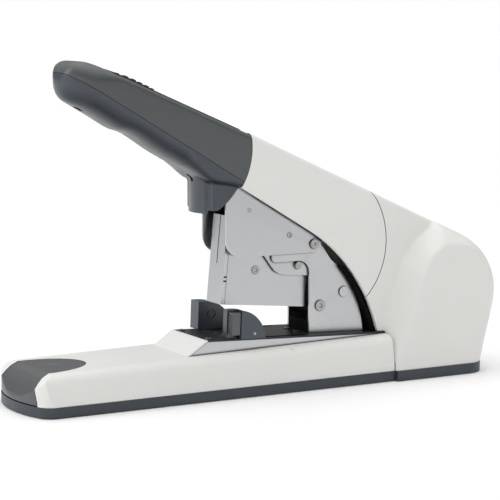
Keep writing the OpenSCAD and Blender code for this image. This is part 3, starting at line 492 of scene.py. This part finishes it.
def insert_plan(grow):
    """Outline of the ribbed insert's seat, along the top line from its middle."""
    s, r = 4.0, 10.0 + grow
    return arc((s, 0), r, -90, 90, 20) + arc((-s, 0), r, 90, 270, 20)


def insert_prism(name, grow, low, high):
    u = Vector((math.cos(TOP_A), 0, -math.sin(TOP_A)))
    n = Vector((math.sin(TOP_A), 0, math.cos(TOP_A)))
    c = P(74, 0, top_z(74))
    return loft(name, [[c + (u * x + Vector((0, y, 0)) + n * h) * MM for x, y in insert_plan(grow)]
                       for h in (low, high)])


def handle_shells():
    upper = grip_form("upper", 0)
    boolean(upper, side_prism("zone", face_profile(SEAM, True), HANDLE_W), "INTERSECT")
    cut(upper, grip_form("hollow", WALL), insert_prism("seat", 0.15, -2.8, 6))
    finish_piece(upper, "handle_top_shell_skin", grip, "handle", ["handle_top_shell"], 0.35)

    lower = merge(grip_form("lower", 0), nose_form("nose", 0, 92.0),
                  side_prism("cheeks", [(CHEEK[0], 95), (146, 95), (146, 126), (CHEEK[0], 126)], CHEEK[1]))
    melt(lower, 0.7, 9)
    boolean(lower, side_prism("zone", face_profile(SEAM, False), HANDLE_W), "INTERSECT")
    cut(lower, grip_form("hollow", WALL))
    cut(lower, side_prism("foot", [(90, 102), (114.8, 102), (114.8, 104), (150, 104), (150, 60), (90, 60)],
                          HANDLE_W),
        nose_form("nose_hollow", 1.5, 80.0, 124.0),
        side_prism("lever_room", [(117, 100), (149, 100), (149, 140), (117, 140)], 14.8))
    down = Vector((math.sin(PART_A), 0, math.cos(PART_A))) * MM
    c = P(46.7, 0, parting_z(46.7))
    cut(lower, rod("screw_well", c - down * 30, c - down * 7, 2.9))
    cut(lower, side_prism("slot", [(106, 124.4), (112.6, 122.2), (112.6, 118.4)], 1.6, 1.9))
    finish_piece(lower, "handle_bottom_shell_skin", slate, "handle", ["handle_bottom_shell"],
                 0.25, 64)


# ---- rubber inlay on the grip -----------------------------------------------------------------

def top_inlay():
    """A thin black inlay along the grip's top, with its near edge just showing."""
    half_w, front, rear = 17.6, 58.0, 131.5
    outline = arc((front, 0), half_w, 90, 270, 24)
    outline = [(front + (x - front) * 0.62, y) for x, y in outline] + [(rear, -half_w), (rear, half_w)]
    n = Vector((math.sin(TOP_A), 0, math.cos(TOP_A)))
    o = loft("inlay", [[P(x, y, skin_top(x)) + n * (h * MM) for x, y in outline] for h in (-0.6, 0.12)])
    cut(o, insert_prism("seat", 0.3, -5, 4))
    finish_piece(o, "top_inlay", black, "handle", [], 0.15)


def throat_shadow_strips():
    """Strips of painted shadow, near-black, inside the cover's curved opening, beside the lever plates."""
    edge_a, reach = 59, 36        # where the opening's edge turns straight, and how far it runs
    def edge(r):
        curve = arc(THROAT[:2], r, edge_a, 40, 30)
        x, z = curve[0]
        return [(x - reach, z + reach / math.tan(math.radians(edge_a)))] + curve
    outline = edge(THROAT[2] + 0.4) + edge(THROAT[2] + 2.2)[::-1]
    o = merge(side_prism("near", outline, 1.15, -16.25), side_prism("far", outline, 1.15, 16.25))
    finish_piece(o, "throat_shadow_strips", shadow_fill, "handle", [], 0)


# ---- rear housing -------------------------------------------------------------------------

DOME = (265.2, 48.8, 36.8)
REAR_LEAN = 14.6
REAR_FLOOR = 292.6
RIM_H = 6.1
CORNER_R = 15.0


def dome_slab(name, front, shrink, half_w):
    outline = front + arc(DOME[:2], DOME[2] - shrink, 90 - 24.3, -REAR_LEAN, 26)
    outline += [(REAR_FLOOR - shrink + 3.5, -6), (front[0][0], -6)]
    return [P(x, s * half_w, z) for x, z in outline for s in (-1, 1)]


def wide_form(name, d):
    """The housing's broad body: one skin over three slabs, narrow above and wide below."""
    core = [(226.5, 5), (226.8, 32.2), (232.8, 50), (238, 66), (248, 80), (262, top_z(262))]
    shoulder = [(227, 5), (228, 20), (234.6, 43), (241, 61), (250, 76), (262, 86)]
    flank = [(226.6, 5), (229.5, 15.5), (235.5, 35.6), (244.9, 61.4), (251, 72), (259.5, 78)]
    points = []
    for front, shrink, half_w in ((core, 0.0, 20.0), (shoulder, 2.4, 28.0), (flank, 6.5, 34.5)):
        front = [(x + d, z - (d if z > 60 else 0)) for x, z in front]
        points += dome_slab(name, front, shrink + d, half_w - d)
    bm = bmesh.new()
    for p in points:
        bm.verts.new(p)
    bmesh.ops.convex_hull(bm, input=bm.verts)
    loose = [v for v in bm.verts if not v.link_faces]
    bmesh.ops.delete(bm, geom=loose, context="VERTS")
    bmesh.ops.recalc_face_normals(bm, faces=bm.faces)
    me = bpy.data.meshes.new(name)
    bm.to_mesh(me)
    bm.free()
    o = bpy.data.objects.new(name, me)
    bpy.context.scene.collection.objects.link(o)
    return o


def lean_zone(name, d):
    """Rear outline from above, with round corners, leaning as the rear wall leans."""
    half, r = 35.0 - d, CORNER_R - d
    end = REAR_FLOOR - d
    plan = [(180, -half)] + arc((end - r, r - half), r, 270, 360, 20) \
        + arc((end - r, half - r), r, 0, 90, 20) + [(180, half)]
    lean = math.tan(math.radians(REAR_LEAN))
    return loft(name, [[P(x + lean * (z - RIM_H), y, z) for x, y in plan] for z in (-20.0, 110.0)])


def arm_prism(name, d, x_from, x_to, low=-150.0):
    """The handle's long straight section between two places along the top line."""
    half, r = HANDLE_W / 2 - d, 3.4 - d / 2
    section = [(half, low)] + arc((half - r, -r - d), r, 0, 90, 8)
    section += [(-y, z) for y, z in section[::-1]]
    return loft(name, [[P(x, y, top_z(x) + z / math.cos(TOP_A)) for y, z in section]
                       for x in (x_from, x_to)])


def rear_shell():
    o = wide_form("housing", 0)
    boolean(o, lean_zone("lean", 0.2), "INTERSECT")
    melt(o, 1.0, 16)
    neck_side = [(200, 26), (250, 26), (258, 60), (266, 70), (266, top_z(266)), (200, top_z(200))]
    neck = arm_prism("neck", 0, 190, 285)
    boolean(neck, side_prism("neck_zone", neck_side, HANDLE_W), "INTERSECT")
    boolean(o, neck, "UNION")
    melt(o, 0.9, 4)
    cut(o, boolean(wide_form("hollow", WALL), lean_zone("lean_in", WALL + 0.4), "INTERSECT"))
    inner = arm_prism("inner", WALL + 0.2, 185, 262)
    cut(o, boolean(inner, side_prism("inner_zone", neck_side, HANDLE_W), "INTERSECT"))
    cut(o, side_prism("below", [(180, -30), (320, -30), (320, RIM_H), (180, RIM_H)], 60),
        side_prism("deck", [(195, 0), (231.7, 0), (231.7, 29.2), (195, 29.2)], 17.5),
        side_prism("front", [(195, 0), (226.6, 0), (226.6, 28), (195, 28)], 60),
        disc_prism("seam", PIVOT[0], PIVOT[1], 46.5, 40),
        disc_prism("throat", THROAT[0], THROAT[1], THROAT[2], 40))
    finish_piece(o, "rear_housing_skin", light, "base", ["rear_housing"], 0.35, 38)


# ---- front cap ----------------------------------------------------------------------------

def cap_shell():
    """The cap's own form with its facets melted into one smooth skin."""
    o = bpy.data.objects.new("cap", NODES["front_cap"].data.copy())
    bpy.context.scene.collection.objects.link(o)
    o.matrix_world = NODES["front_cap"].matrix_world
    melt(o, 0.55, 7)
    finish_piece(o, "front_cap_skin", dark, "base", ["front_cap"], 0, 60)


handle_shells()
top_inlay()
throat_shadow_strips()
rear_shell()
cap_shell()


# ---- stage, light and camera ----------------------------------------------------------------

floor_mat = bpy.data.materials.new("floor_paper")
floor_mat.use_nodes = True
fb = floor_mat.node_tree.nodes["Principled BSDF"]
fb.inputs["Base Color"].default_value = (0.96, 0.96, 0.96, 1)
fb.inputs["Roughness"].default_value = 0.85
fb.inputs["Specular IOR Level"].default_value = 0.1
S = 300.0
floor = new_mesh("floor", [(-S, -S, 0), (S, -S, 0), (S, S, 0), (-S, S, 0)], [(0, 1, 2, 3)], floor_mat, False)


def studio_world(horizon, zenith, side):
    """A soft tent of light: bright overhead, dimmer round the horizon, brighter on the left."""
    world = bpy.data.worlds.new("studio")
    bpy.context.scene.world = world
    world.use_nodes = True
    t = world.node_tree
    tc = t.nodes.new("ShaderNodeTexCoord")
    xyz = t.nodes.new("ShaderNodeSeparateXYZ")
    t.links.new(tc.outputs["Generated"], xyz.inputs["Vector"])

    def maths(op, a, b):
        n = t.nodes.new("ShaderNodeMath")
        n.operation = op
        for socket, v in zip(n.inputs, (a, b)):
            if isinstance(v, float):
                socket.default_value = v
            else:
                t.links.new(v, socket)
        return n.outputs["Value"]
    up = maths("MULTIPLY", xyz.outputs["Z"], xyz.outputs["Z"])
    rise = maths("MULTIPLY", up, zenith - horizon)
    left = maths("MULTIPLY", xyz.outputs["X"], -side)
    total = maths("ADD", maths("ADD", rise, left), horizon)
    t.links.new(total, t.nodes["Background"].inputs["Strength"])
    t.nodes["Background"].inputs["Color"].default_value = (1, 1, 1, 1)


def lamp(name, loc, target, size, watts):
    d = bpy.data.lights.new(name, "AREA")
    d.shape = "RECTANGLE"
    d.size, d.size_y = size
    d.energy = watts
    o = bpy.data.objects.new(name, d)
    bpy.context.scene.collection.objects.link(o)
    o.location = loc
    o.rotation_euler = (Vector(target) - Vector(loc)).to_track_quat("-Z", "Y").to_euler()
    return o


studio_world(0.2, 1.95, 0.1)
lamp("key", (-1.5, 0.3, 0.7), (0, 0, 0.1), (0.8, 0.8), 4)

cam_data = bpy.data.cameras.new("camera")
cam_data.lens = 140.2
cam_data.sensor_width = 36.0
cam_data.clip_start = 0.05
cam = bpy.data.objects.new("camera", cam_data)
bpy.context.scene.collection.objects.link(cam)
cam.location = (-0.5431, -0.9656, 0.2213)
cam.rotation_euler = (math.radians(90 - 7.36), 0, math.radians(-29.21))
bpy.context.scene.camera = cam
bpy.context.scene.view_settings.view_transform = "Standard"
